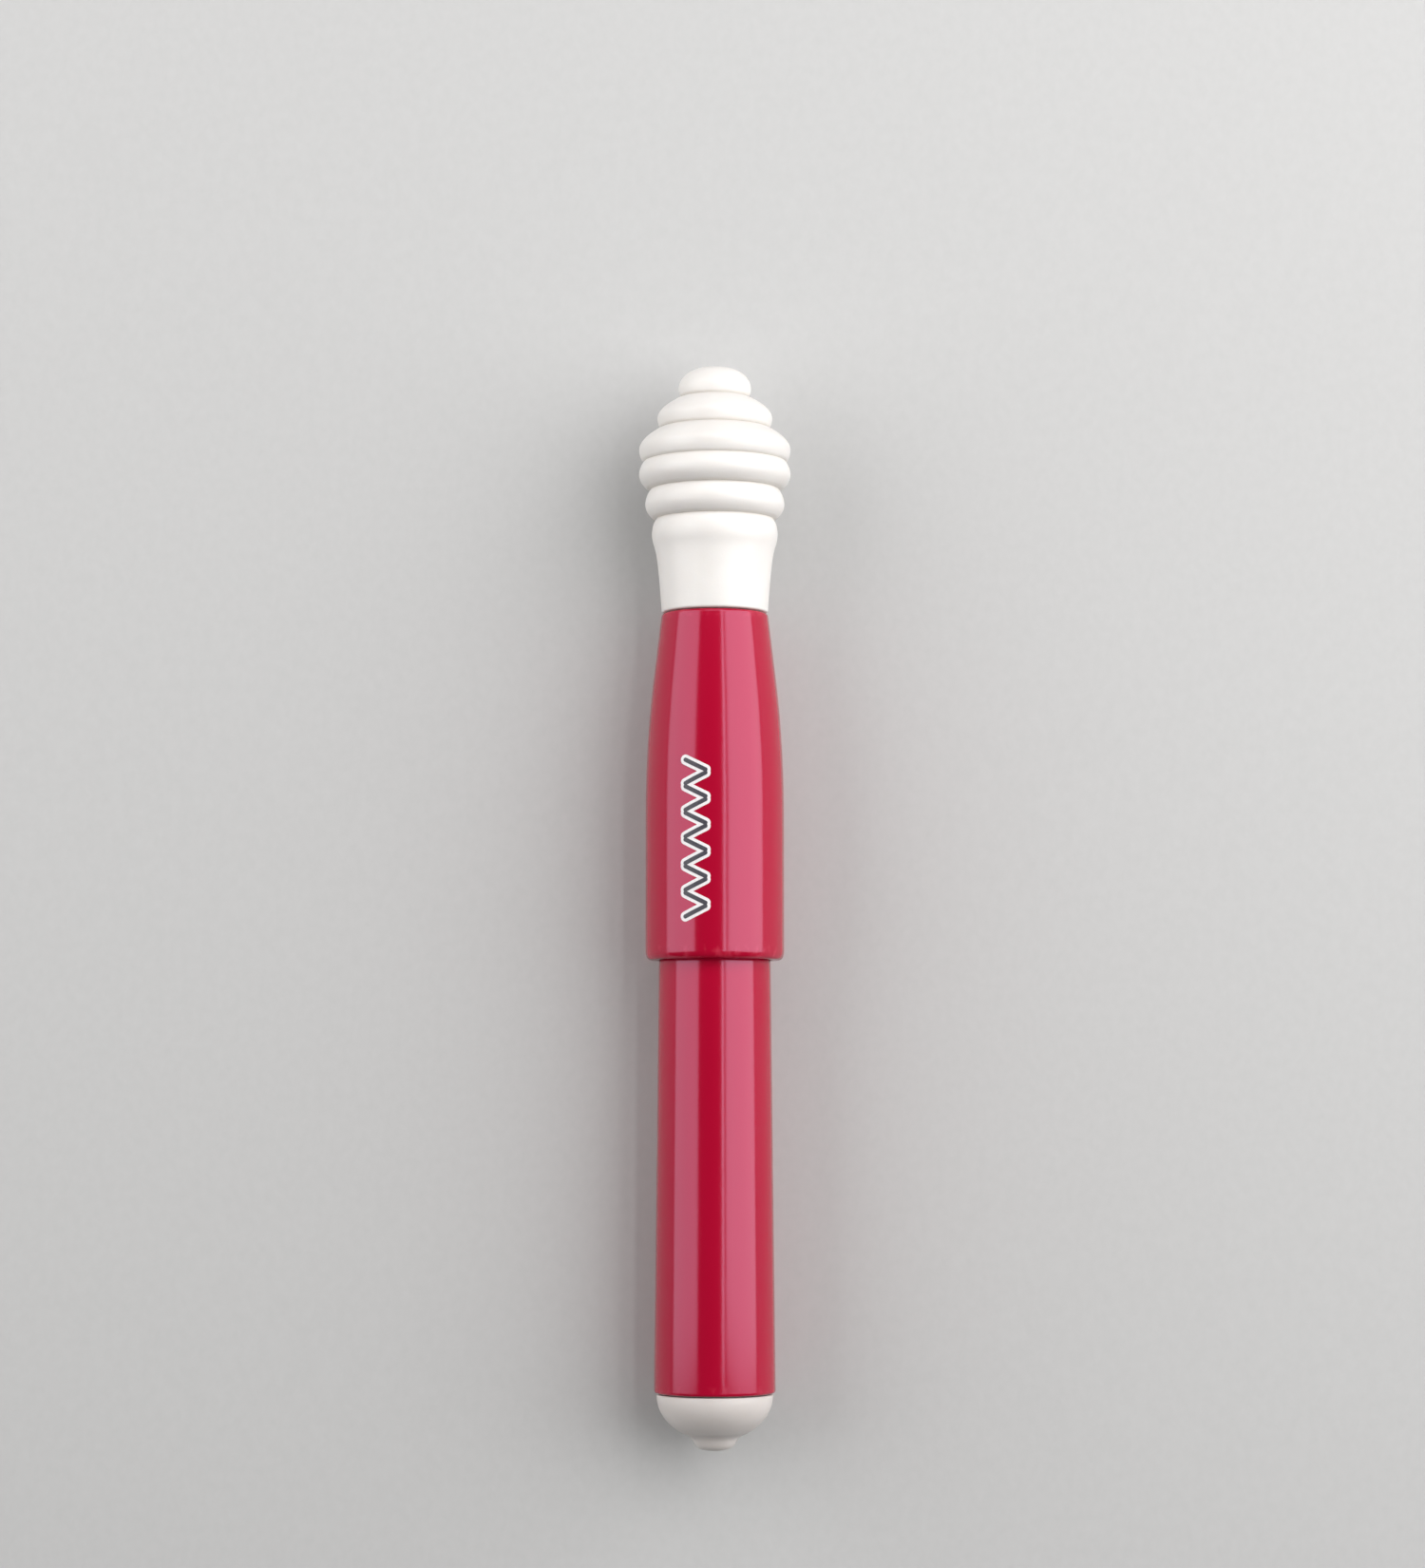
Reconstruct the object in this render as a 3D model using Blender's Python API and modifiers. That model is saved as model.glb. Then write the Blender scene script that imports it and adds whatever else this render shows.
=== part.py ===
"""A capped seam ripper lying on its side, closed.

The tool's long axis runs along Y: the cap's ribbed head is at +Y and the handle's rubber nub at -Y.
+Z is up. The origin is on the surface that the tool lies on, under the middle of its length.
Every piece but the blade and its ball is turned about the long axis, so it is drawn as a profile of
(radius, station) points, where a station is a distance along the axis from the middle of the tool.
Lengths are in metres.
"""

import math

import bmesh
import bpy
from mathutils import Vector

MM = 0.001

# Driving dimensions of the outside
HALF_LENGTH = 70.0 * MM
HEAD_RADIUS = 9.88 * MM
CAP_RADIUS = 8.95 * MM
SEAM_RADIUS = 6.9 * MM
BARREL_RIM_RADIUS = 7.2 * MM
BARREL_END_RADIUS = 7.78 * MM

# Stations along the axis, from the head down to the nub
SLEEVE_TOP = 37.6 * MM
SLEEVE_SHOULDER = 20.5 * MM
NOSE_FACE = 13.7 * MM
CONE_BASE = 5.8 * MM
CAP_RIM = -7.4 * MM
BARREL_END = -62.7 * MM

# Walls and gaps
GAP = 0.2 * MM
SLEEVE_WALL = 1.5 * MM
BARREL_WALL = 1.5 * MM
EDGE = 0.3 * MM

# Cap sleeve
SHOULDER_RADIUS = 8.85 * MM
CAP_BORE_RADIUS = 7.4 * MM
RIM_ROUND = 1.3 * MM
RIM_ROUND_LENGTH = 1.6 * MM

# Ribbed head: a dome and four rings at an even pitch, then a neck that swells once
CROWN_FLAT_RADIUS = 0.9 * MM
DOME_RADIUS = 4.73 * MM
DOME_HEIGHT = 2.9 * MM
RING_PITCH = 3.8 * MM
RING_GROOVE = 0.5 * MM
RING_CRESTS = (DOME_RADIUS, 7.5 * MM, 9.87 * MM, HEAD_RADIUS, 9.07 * MM)
NECK_GROOVE_RADIUS = 7.75 * MM
NECK_SWELL_RADIUS = 8.2 * MM
NECK_MIDDLE_RADIUS = 7.35 * MM
NECK_MIDDLE = 43.5 * MM

# Core inside the head
CORE_FOOT = 26.0 * MM
CORE_NECK_RADIUS = 5.3 * MM
CORE_BULB_RADIUS = 7.0 * MM
CORE_BULB_FOOT = 51.0 * MM
CORE_BULB_SHOULDER = 60.5 * MM
CORE_TOP = 65.0 * MM
CORE_BORE_RADIUS = 3.9 * MM
CORE_BORE_END = 59.0 * MM

# Nose of the handle, under the cap
NOSE_RADIUS = 6.85 * MM
NOSE_FACE_RADIUS = 4.35 * MM
GRIP_RINGS = 5
GRIP_RING_PITCH = 2.35 * MM
GRIP_RING_HEIGHT = 0.2 * MM
GRIP_RING_WIDTH = 1.0 * MM
NOSE_FACE_ROUND = 0.8 * MM
HOLLOW_TOP = -3.0 * MM
HOLLOW_DOME = 2.0 * MM

# Plug in the barrel's open end, and the stud on it that the nub is moulded on
PLUG_TOP = BARREL_END + 11.0 * MM
PLUG_FLOOR = BARREL_END + 1.6 * MM
PLUG_WALL = 1.4 * MM
PLUG_CLEARANCE = 0.3 * MM
PLUG_BARB = 0.12 * MM
STUD_NECK_RADIUS = 3.0 * MM
STUD_HEAD_RADIUS = 4.0 * MM
STUD_END_RADIUS = 3.4 * MM
STUD_NECK_END = BARREL_END - 1.6 * MM
STUD_END = BARREL_END - 3.4 * MM

# Rubber nub
NUB_RADIUS = 7.45 * MM
NUB_DOME_HEIGHT = 6.0 * MM
NUB_SHOULDER = BARREL_END - 5.0 * MM
NUB_SHOULDER_RADIUS = 3.9 * MM
NUB_TIP_RADIUS = 2.7 * MM
NUB_FLAT_RADIUS = 0.9 * MM

# Blade: distances along it are counted from the nose's face
SHAFT_RADIUS = 0.95 * MM
TANG_DEPTH = 12.0 * MM
EAR_WIDTH = 3.4 * MM
EAR_LENGTH = 2.4 * MM
EAR_THICKNESS = 0.6 * MM
EAR_HEIGHT = 2.6 * MM
FORK_START = 14.5 * MM
FORK_THICKNESS = 0.8 * MM
POINT_THINNING = 0.75
SHAFT_END = 20.0 * MM
CROTCH = 22.8 * MM
TIP_REACH = 35.0 * MM
TIP_OFFSET = 2.0 * MM
BALL_RADIUS = 1.2 * MM
BALL_REACH = 26.8 * MM
BALL_OFFSET = -1.55 * MM
PRONG_HOLE_WIDTH = 1.1 * MM
PRONG_HOLE_DEPTH = 2.4 * MM

# 30 sides put a flat, and not a corner, under and over the tool
STEPS = 30
HEAD_FLAT_RADIUS = HEAD_RADIUS * math.cos(math.pi / STEPS)
MERGE = 0.005 * MM

TOOL = bpy.data.collections.new("seam_ripper")
CUTTERS = bpy.data.collections.new("cutters")


def clear_scene():
    for obj in list(bpy.data.objects):
        bpy.data.objects.remove(obj, do_unlink=True)
    bpy.context.scene.collection.children.link(TOOL)
    bpy.context.scene.collection.children.link(CUTTERS)


def finish_material(name, colour, roughness, metallic=0.0):
    material = bpy.data.materials.new(name)
    material.use_nodes = True
    shader = material.node_tree.nodes["Principled BSDF"]
    shader.inputs["Base Color"].default_value = (*colour, 1.0)
    shader.inputs["Roughness"].default_value = roughness
    shader.inputs["Metallic"].default_value = metallic
    return material


def tool_axis():
    """An empty on the long axis, whose own Z runs along the tool towards the head."""
    axis = bpy.data.objects.new("tool_axis", None)
    axis.location = (0.0, 0.0, HEAD_FLAT_RADIUS)
    axis.rotation_euler = (-math.pi / 2, 0.0, 0.0)
    TOOL.objects.link(axis)
    return axis


def place(obj, axis, material, collection=TOOL):
    collection.objects.link(obj)
    obj.parent = axis
    if material is not None:
        obj.data.materials.append(material)
    if collection is CUTTERS:
        obj.hide_render = True
        obj.display_type = "WIRE"
    return obj


def turned(name, profile, axis, material, closed=False, steps=STEPS):
    """Spins a profile of (radius, station) points about the axis. It runs down its outer side."""
    mesh = bpy.data.meshes.new(name)
    points = [(radius, 0.0, station) for radius, station in profile]
    edges = [(i, i + 1) for i in range(len(points) - 1)]
    if closed:
        edges.append((len(points) - 1, 0))
    mesh.from_pydata(points, edges, [])
    obj = place(bpy.data.objects.new(name, mesh), axis, material)
    screw = obj.modifiers.new("turn", "SCREW")
    screw.axis = "Z"
    screw.steps = steps
    screw.render_steps = steps
    screw.use_merge_vertices = True
    screw.merge_threshold = MERGE
    screw.use_smooth_shade = True
    return obj


def arc(centre, radii, start, end, count):
    """Points on an ellipse about centre, from one angle to another, in degrees from the +radius way."""
    points = []
    for i in range(count + 1):
        angle = math.radians(start + (end - start) * i / count)
        points.append((centre[0] + radii[0] * math.cos(angle), centre[1] + radii[1] * math.sin(angle)))
    return points


def line_at(start, end, station):
    """Radius at a station on the straight line between two profile points."""
    share = (station - start[1]) / (end[1] - start[1])
    return start[0] + share * (end[0] - start[0])


def head_outline():
    """The head's outer profile: a flat-topped dome, then rings, then the neck down to the sleeve."""
    stations = [HALF_LENGTH - DOME_HEIGHT - i * RING_PITCH for i in range(len(RING_CRESTS))]
    valleys = [min(pair) - RING_GROOVE for pair in zip(RING_CRESTS, RING_CRESTS[1:])]
    valleys.append(NECK_GROOVE_RADIUS)
    half = 0.49 * RING_PITCH
    outline = [(0.0, HALF_LENGTH)]
    dome_radii = (DOME_RADIUS - CROWN_FLAT_RADIUS, DOME_HEIGHT)
    outline += arc((CROWN_FLAT_RADIUS, stations[0]), dome_radii, 90, 0, 5)
    for i, (crest, station) in enumerate(zip(RING_CRESTS, stations)):
        if i > 0:
            above = valleys[i - 1]
            outline += arc((above, station), (crest - above, half), 90, 0, 3)
        below = valleys[i]
        outline += arc((below, station), (crest - below, half), 0, -90, 3)[1:]
    swell = stations[-1] - RING_PITCH
    growth = NECK_SWELL_RADIUS - NECK_GROOVE_RADIUS
    outline += arc((NECK_GROOVE_RADIUS, swell), (growth, half), 90, -60, 4)[1:]
    outline.append((NECK_MIDDLE_RADIUS, NECK_MIDDLE))
    outline.append((SEAM_RADIUS, SLEEVE_TOP + GAP))
    return outline


def core_outline(growth):
    """The core's outside, or the head's inside when grown by a gap, from the top down to the seam."""
    neck = CORE_NECK_RADIUS + growth
    bulb = CORE_BULB_RADIUS + growth
    outline = arc((0.0, CORE_BULB_SHOULDER), (bulb, CORE_TOP - CORE_BULB_SHOULDER + growth), 90, 0, 5)
    outline[0] = (0.0, CORE_TOP + growth)
    outline.append((bulb, CORE_BULB_FOOT + 1.0 * MM))
    outline.append((neck, CORE_BULB_FOOT - 1.0 * MM))
    return outline


def ribbed_head(axis, material):
    inside = core_outline(GAP)
    inside.append((CORE_NECK_RADIUS + GAP, SLEEVE_TOP + GAP))
    turned("ribbed_head", head_outline() + inside[::-1], axis, material)


def cap_core(axis, material):
    """A stiff tube: its foot sits in the sleeve's taper and its bulb holds the rubber head."""
    top_inside = sleeve_inside(SLEEVE_TOP)
    foot_inside = sleeve_inside(CORE_FOOT)
    outline = core_outline(0.0)
    outline.append((CORE_NECK_RADIUS, SLEEVE_TOP + GAP))
    outline.append((top_inside - GAP, SLEEVE_TOP - GAP))
    outline.append((foot_inside - GAP, CORE_FOOT))
    outline.append((CORE_BORE_RADIUS + EDGE, CORE_FOOT))
    outline.append((CORE_BORE_RADIUS, CORE_FOOT + EDGE))
    outline += arc((0.0, CORE_BORE_END - CORE_BORE_RADIUS), (CORE_BORE_RADIUS,) * 2, 0, 90, 5)[:-1]
    outline.append((0.0, CORE_BORE_END))
    turned("cap_core", outline, axis, material)


def sleeve_outside(station):
    """Radius of the sleeve's outside on its taper."""
    return line_at((SHOULDER_RADIUS, SLEEVE_SHOULDER), (SEAM_RADIUS, SLEEVE_TOP), station)


def sleeve_inside(station):
    return sleeve_outside(station) - SLEEVE_WALL


def cap_sleeve(axis, material):
    """The cap's shell: straight to its shoulder, then tapering to the seam, with a rounded rim."""
    taper_start = SLEEVE_SHOULDER + 1.0 * MM
    outline = [
        (SEAM_RADIUS - EDGE, SLEEVE_TOP),
        (SEAM_RADIUS, SLEEVE_TOP - EDGE),
        (sleeve_outside(taper_start), taper_start),
        (CAP_RADIUS, SLEEVE_SHOULDER - 2.0 * MM),
    ]
    round_centre = (CAP_RADIUS - RIM_ROUND, CAP_RIM + RIM_ROUND_LENGTH)
    outline += arc(round_centre, (RIM_ROUND, RIM_ROUND_LENGTH), 0, -90, 5)
    outline += [
        (CAP_BORE_RADIUS, CAP_RIM + EDGE),
        (CAP_BORE_RADIUS, SLEEVE_SHOULDER - 1.0 * MM),
        (sleeve_inside(CORE_FOOT), CORE_FOOT),
        (sleeve_inside(SLEEVE_TOP), SLEEVE_TOP),
    ]
    turned("cap_sleeve", outline, axis, material, closed=True)


def hollow_radius(station):
    """Radius of the handle's hollow, which widens towards its open end."""
    rim = (BARREL_RIM_RADIUS - BARREL_WALL, CAP_RIM)
    end = (BARREL_END_RADIUS - BARREL_WALL, BARREL_END)
    return line_at(rim, end, station)


def handle_outline():
    """The handle: nose face, cone, grip rings, barrel, then the hollow inside it."""
    hole = SHAFT_RADIUS + GAP
    tang_end = NOSE_FACE - TANG_DEPTH - GAP
    outline = [
        (0.0, tang_end),
        (hole, tang_end),
        (hole, NOSE_FACE),
        (NOSE_FACE_RADIUS - NOSE_FACE_ROUND, NOSE_FACE),
        (NOSE_FACE_RADIUS, NOSE_FACE - NOSE_FACE_ROUND),
        (NOSE_RADIUS, CONE_BASE),
    ]
    half = GRIP_RING_WIDTH / 2
    for i in range(GRIP_RINGS):
        middle = CONE_BASE - (i + 0.6) * GRIP_RING_PITCH
        outline += [
            (NOSE_RADIUS, middle + half),
            (NOSE_RADIUS + GRIP_RING_HEIGHT, middle + 0.4 * half),
            (NOSE_RADIUS + GRIP_RING_HEIGHT, middle - 0.4 * half),
            (NOSE_RADIUS, middle - half),
        ]
    outline += [
        (NOSE_RADIUS, CAP_RIM + 1.0 * MM),
        (BARREL_RIM_RADIUS, CAP_RIM),
        (BARREL_END_RADIUS, BARREL_END + EDGE),
        (BARREL_END_RADIUS - EDGE, BARREL_END),
        (hollow_radius(BARREL_END), BARREL_END),
    ]
    top = hollow_radius(HOLLOW_TOP)
    outline += arc((top - HOLLOW_DOME, HOLLOW_TOP - HOLLOW_DOME), (HOLLOW_DOME, HOLLOW_DOME), 0, 90, 3)
    outline.append((0.0, HOLLOW_TOP))
    return outline


def handle_barrel(axis, material):
    """One moulding with a pocket in its nose for the ears of the blade's tang."""
    handle = turned("handle_barrel", handle_outline(), axis, material)
    pocket = box("ear_pocket", (EAR_WIDTH + 2 * GAP, EAR_THICKNESS + 2 * GAP, EAR_LENGTH + 2 * GAP), axis)
    pocket.location.z = ear_station()
    join(handle, pocket, "DIFFERENCE")


def stud_outline(growth):
    """The stud on the plug, or the nub's hollow when grown by a gap."""
    return [
        (STUD_NECK_RADIUS + growth, BARREL_END - GAP),
        (STUD_NECK_RADIUS + growth, STUD_NECK_END + growth),
        (STUD_HEAD_RADIUS + growth, STUD_NECK_END - 0.4 * MM + growth),
        (STUD_END_RADIUS + growth, STUD_END - growth),
        (0.0, STUD_END - growth),
    ]


def tail_plug(axis, material):
    """A hollow plug with a barb, pushed into the barrel's open end, and a stud for the nub."""
    radius = hollow_radius(PLUG_TOP) - PLUG_CLEARANCE
    outline = [
        (0.0, PLUG_FLOOR),
        (radius - PLUG_WALL, PLUG_FLOOR),
        (radius - PLUG_WALL, PLUG_TOP),
        (radius - EDGE, PLUG_TOP),
        (radius, PLUG_TOP - EDGE),
        (radius, PLUG_TOP - 3.0 * MM),
        (radius + PLUG_BARB, PLUG_TOP - 4.0 * MM),
        (radius, PLUG_TOP - 4.4 * MM),
        (radius, BARREL_END + EDGE),
        (radius - EDGE, BARREL_END - GAP),
    ]
    turned("tail_plug", outline + stud_outline(0.0), axis, material)


def end_nub(axis, material):
    """A soft dome that carries a small rounded tip with a flat end."""
    seam = BARREL_END - 2 * GAP
    outline = stud_outline(GAP)[::-1]
    outline[-1] = (STUD_NECK_RADIUS + GAP, seam)
    dome = arc((0.0, seam), (NUB_RADIUS, NUB_DOME_HEIGHT), 0, -90, 12)
    outline += [point for point in dome if point[1] > NUB_SHOULDER]
    outline.append((NUB_SHOULDER_RADIUS, NUB_SHOULDER))
    outline.append((NUB_TIP_RADIUS + 0.25 * MM, NUB_SHOULDER - 0.35 * MM))
    tip_start = NUB_SHOULDER - 0.5 * MM
    tip_radii = (NUB_TIP_RADIUS - NUB_FLAT_RADIUS, tip_start + HALF_LENGTH)
    outline += arc((NUB_FLAT_RADIUS, tip_start), tip_radii, 0, -90, 4)
    outline.append((0.0, -HALF_LENGTH))
    turned("end_nub", outline, axis, material)


def ear_station():
    return NOSE_FACE - TANG_DEPTH + EAR_HEIGHT


def box(name, size, axis):
    mesh = bpy.data.meshes.new(name)
    shape = bmesh.new()
    bmesh.ops.create_cube(shape, size=1.0)
    bmesh.ops.scale(shape, vec=Vector(size), verts=shape.verts)
    shape.to_mesh(mesh)
    shape.free()
    return place(bpy.data.objects.new(name, mesh), axis, None, CUTTERS)


def join(obj, other, operation):
    boolean = obj.modifiers.new(other.name, "BOOLEAN")
    boolean.operation = operation
    boolean.object = other
    return boolean


def fork_outline():
    """The fork's outline seen from above, as (offset, station) points.

    It runs up the ball's side, round the cutting crotch, out to the point and back.
    """
    start = FORK_START / MM
    prong = [(-0.85, start), (-0.9, 17.0), (-1.1, 19.5), (-1.5, 22.0), (-1.95, 24.2), (-2.05, 26.6)]
    crotch_radius = 0.8
    crotch_middle = (-0.15, CROTCH / MM + crotch_radius)
    crotch = [(-1.1, 26.6)] + arc(crotch_middle, (crotch_radius, crotch_radius), 180, 360, 6)
    inner_edge = [(0.9, 26.6), (1.2, 29.5), (1.7, 33.4)]
    outer_edge = [(2.17, 33.4), (2.22, 31.0), (2.18, 28.5), (2.05, 25.5)]
    shank = [(1.65, 22.0), (1.15, 19.5), (0.9, 17.0), (0.85, start)]
    point = [(TIP_OFFSET / MM, TIP_REACH / MM)]
    outline = prong + crotch + inner_edge + point + outer_edge + shank
    return [(x * MM, NOSE_FACE + reach * MM) for x, reach in outline]


def fork_plate(axis):
    """The fork's outline as a flat plate that thins towards the points."""
    curve = bpy.data.curves.new("fork_outline", "CURVE")
    curve.dimensions = "2D"
    curve.fill_mode = "BOTH"
    curve.extrude = FORK_THICKNESS / 2
    spline = curve.splines.new("POLY")
    outline = fork_outline()
    spline.points.add(len(outline) - 1)
    for point, (x, station) in zip(spline.points, outline):
        point.co = (x, station, 0.0, 1.0)
    spline.use_cyclic_u = True
    flat = place(bpy.data.objects.new("fork_outline", curve), axis, None, CUTTERS)
    flat.rotation_euler = (math.pi / 2, 0.0, 0.0)
    bpy.context.view_layer.update()
    evaluated = flat.evaluated_get(bpy.context.evaluated_depsgraph_get())
    mesh = bpy.data.meshes.new_from_object(evaluated)
    shape = bmesh.new()
    shape.from_mesh(mesh)
    bmesh.ops.remove_doubles(shape, verts=shape.verts, dist=MERGE)
    crotch_station = NOSE_FACE + CROTCH
    for vertex in shape.verts:
        past = (vertex.co.y - crotch_station) / (TIP_REACH - CROTCH)
        vertex.co.z *= 1.0 - POINT_THINNING * min(1.0, max(0.0, past))
    bmesh.ops.recalc_face_normals(shape, faces=shape.faces)
    shape.to_mesh(mesh)
    shape.free()
    plate = place(bpy.data.objects.new("fork_plate", mesh), axis, None, CUTTERS)
    plate.rotation_euler = flat.rotation_euler
    bpy.data.objects.remove(flat, do_unlink=True)
    return plate


def blade(axis, material):
    """Round shaft with crimped ears in the nose, flattened into the fork at its far end."""
    foot = NOSE_FACE - TANG_DEPTH
    point = 0.3 * MM
    outline = [
        (0.0, NOSE_FACE + SHAFT_END),
        (point, NOSE_FACE + SHAFT_END),
        (SHAFT_RADIUS, NOSE_FACE + FORK_START),
        (SHAFT_RADIUS, foot),
        (0.0, foot),
    ]
    shaft = turned("blade", outline, axis, material, steps=16)
    ears = box("ears", (EAR_WIDTH, EAR_THICKNESS, EAR_LENGTH), axis)
    ears.location.z = ear_station()
    join(shaft, fork_plate(axis), "UNION")
    join(shaft, ears, "UNION")


def safety_ball(axis, material):
    """A ball over the short prong's end, with a blind hole for it."""
    centre = Vector((BALL_OFFSET, 0.0, NOSE_FACE + BALL_REACH))
    mesh = bpy.data.meshes.new("safety_ball")
    shape = bmesh.new()
    bmesh.ops.create_uvsphere(shape, u_segments=20, v_segments=12, radius=BALL_RADIUS)
    shape.to_mesh(mesh)
    shape.free()
    mesh.shade_smooth()
    ball = place(bpy.data.objects.new("safety_ball", mesh), axis, material)
    ball.location = centre
    hole = box("prong_hole", (PRONG_HOLE_WIDTH, FORK_THICKNESS + 2 * GAP, PRONG_HOLE_DEPTH), axis)
    hole.location = centre - Vector((0.0, 0.0, PRONG_HOLE_DEPTH / 2))
    join(ball, hole, "DIFFERENCE")


def main():
    clear_scene()
    crimson = finish_material("crimson_plastic", (0.52, 0.012, 0.045), 0.18)
    rubber = finish_material("white_rubber", (0.86, 0.84, 0.8), 0.6)
    natural = finish_material("natural_plastic", (0.8, 0.79, 0.75), 0.4)
    steel = finish_material("blade_steel", (0.55, 0.56, 0.58), 0.25, 1.0)
    bead = finish_material("ball_plastic", (0.6, 0.02, 0.03), 0.15)
    axis = tool_axis()
    ribbed_head(axis, rubber)
    cap_core(axis, natural)
    cap_sleeve(axis, crimson)
    handle_barrel(axis, crimson)
    blade(axis, steel)
    safety_ball(axis, bead)
    tail_plug(axis, natural)
    end_nub(axis, rubber)


main()
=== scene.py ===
"""The looks of a capped seam ripper: turned plastic and rubber, a forked blade, a stitch print.

Every turned piece is a profile of (radius, station) points, where a station is a distance along the
tool from the middle of its length, towards the head. Lengths are in metres.
"""

import math

import bmesh
import bpy
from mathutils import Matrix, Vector


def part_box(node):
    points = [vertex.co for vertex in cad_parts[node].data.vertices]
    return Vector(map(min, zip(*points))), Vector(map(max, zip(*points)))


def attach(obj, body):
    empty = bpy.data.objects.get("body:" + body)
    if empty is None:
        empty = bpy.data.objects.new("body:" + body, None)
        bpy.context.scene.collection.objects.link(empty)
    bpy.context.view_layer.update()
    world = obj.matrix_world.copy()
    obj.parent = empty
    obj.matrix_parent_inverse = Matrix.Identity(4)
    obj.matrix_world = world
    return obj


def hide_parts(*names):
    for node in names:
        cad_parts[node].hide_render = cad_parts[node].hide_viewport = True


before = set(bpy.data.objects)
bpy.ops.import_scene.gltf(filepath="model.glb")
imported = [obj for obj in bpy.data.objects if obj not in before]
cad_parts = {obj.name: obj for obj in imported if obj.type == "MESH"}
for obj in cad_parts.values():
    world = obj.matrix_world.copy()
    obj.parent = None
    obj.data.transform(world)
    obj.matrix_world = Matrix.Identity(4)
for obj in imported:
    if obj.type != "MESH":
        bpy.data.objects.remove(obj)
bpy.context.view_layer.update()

MM = 0.001


def mm(*lengths):
    """Lengths given in millimetres, as a tuple in metres."""
    return tuple(length * MM for length in lengths)


# Frame: the long axis runs along Y at AXIS_HEIGHT, and the pieces meet at these CAD stations
lowest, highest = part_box("cap_sleeve")
AXIS_HEIGHT = (lowest[2] + highest[2]) / 2
CAP_RADIUS = (highest[0] - lowest[0]) / 2
CAP_RIM, SLEEVE_TOP = lowest[1], highest[1]
HEAD_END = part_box("ribbed_head")[1][1]
BARREL_END, NOSE_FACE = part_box("handle_barrel")[0][1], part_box("handle_barrel")[1][1]
NUB_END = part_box("end_nub")[0][1]

# Head: a dome, four tiers and a neck. A groove is a distance from the head's end, and a shoulder
# is how far down its tier the crest lies, as a share. The neck's rows are (radius, distance below
# the last groove, bend).
DOME_FLAT, DOME_RADIUS = mm(0.9, 4.74)
DOME_SHARE = 0.72
TIER_CRESTS = mm(7.5, 9.87, 9.88, 9.07)
TIER_SHOULDERS = (0.68, 0.64, 0.46, 0.5)
TOP_POWER, UNDERSIDE_POWER = 0.85, 0.6
GROOVES = mm(3.9, 8.0, 12.45, 16.1, 20.0)
GROOVE_RADII = mm(4.35, 7.0, 9.25, 8.35, 7.65)
NECK = (mm(8.07, 0.75, 0.6), mm(8.27, 2.4, 1.2), mm(7.65, 4.3, 1.2), mm(7.28, 7.2, 2.0))
SEAM_RADIUS = 6.9 * MM
SEAM_GAP, SEAM_BEVEL = mm(0.12, 0.25)

# Core: a bulb on a neck inside the head, and a hollow foot inside the sleeve. The neck's start and
# the collar's top are counted from the sleeve's top.
CORE_GAP = 0.25 * MM
CORE_NECK, CORE_BULB, CORE_CROWN = mm(5.35, 7.0, 4.0)
CORE_NECK_END, BULB_FOOT, BULB_TOP, CORE_TOP = mm(50.0, 52.0, 60.5, 65.0)
CORE_TOP_GAP = 0.3 * MM
CORE_COLLAR, CORE_FOOT_RADIUS, CORE_BORE = mm(5.1, 6.4, 3.9)
CORE_NECK_START, CORE_COLLAR_TOP = mm(0.2, -0.3)
CORE_FOOT, CORE_BORE_TOP = mm(26.0, 59.0)

# Cap sleeve
SLEEVE_SHOULDER = 20.5 * MM
SLEEVE_WALL = 1.55 * MM
RIM_ROUND = 1.35 * MM

# Handle: the step that stops the cap is counted from the cap's rim, and the hollow's are stations
NOSE_RADIUS, NOSE_FACE_RADIUS = mm(6.85, 4.35)
CONE_LENGTH = 7.9 * MM
GRIP_RINGS = 5
GRIP_PITCH, GRIP_HEIGHT, GRIP_HALF, GRIP_FLAT = mm(2.35, 0.2, 0.5, 0.2)
FIRST_GRIP = 0.6
BARREL_RIM_RADIUS, BARREL_END_RADIUS = mm(7.2, 7.78)
STEP_START, STEP_END = mm(1.0, -0.1)
BARREL_WALL = 1.5 * MM
HOLLOW_TAPER, HOLLOW_TOP = mm(-5.0, -3.0)
TANG_HOLE, TANG_GAP = mm(1.05, 0.5)

# Nub: a dome moulded on a stud, with a small foot. The foot's rows are (radius, distance below the
# shoulder, bend), and the tip's are (radius, distance above the end, bend).
NUB_GAP, NUB_EDGE = mm(0.15, 0.2)
NUB_RADIUS, NUB_SEAM_RADIUS, NUB_HEIGHT = mm(7.45, 7.3, 5.75)
NUB_SHOULDER = 4.95 * MM
NUB_FOOT = (mm(3.9, 0.2, 0.5), mm(2.95, 0.75, 0.5))
NUB_TIP = (mm(2.35, 0.35, 0.8), mm(1.2, 0.0, 0.6))
STUD_HEAD, STUD_NECK = mm(4.2, 3.2)
STUD_END, STUD_STEP, STUD_NECK_END = mm(3.6, 1.5, 1.2)

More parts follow.
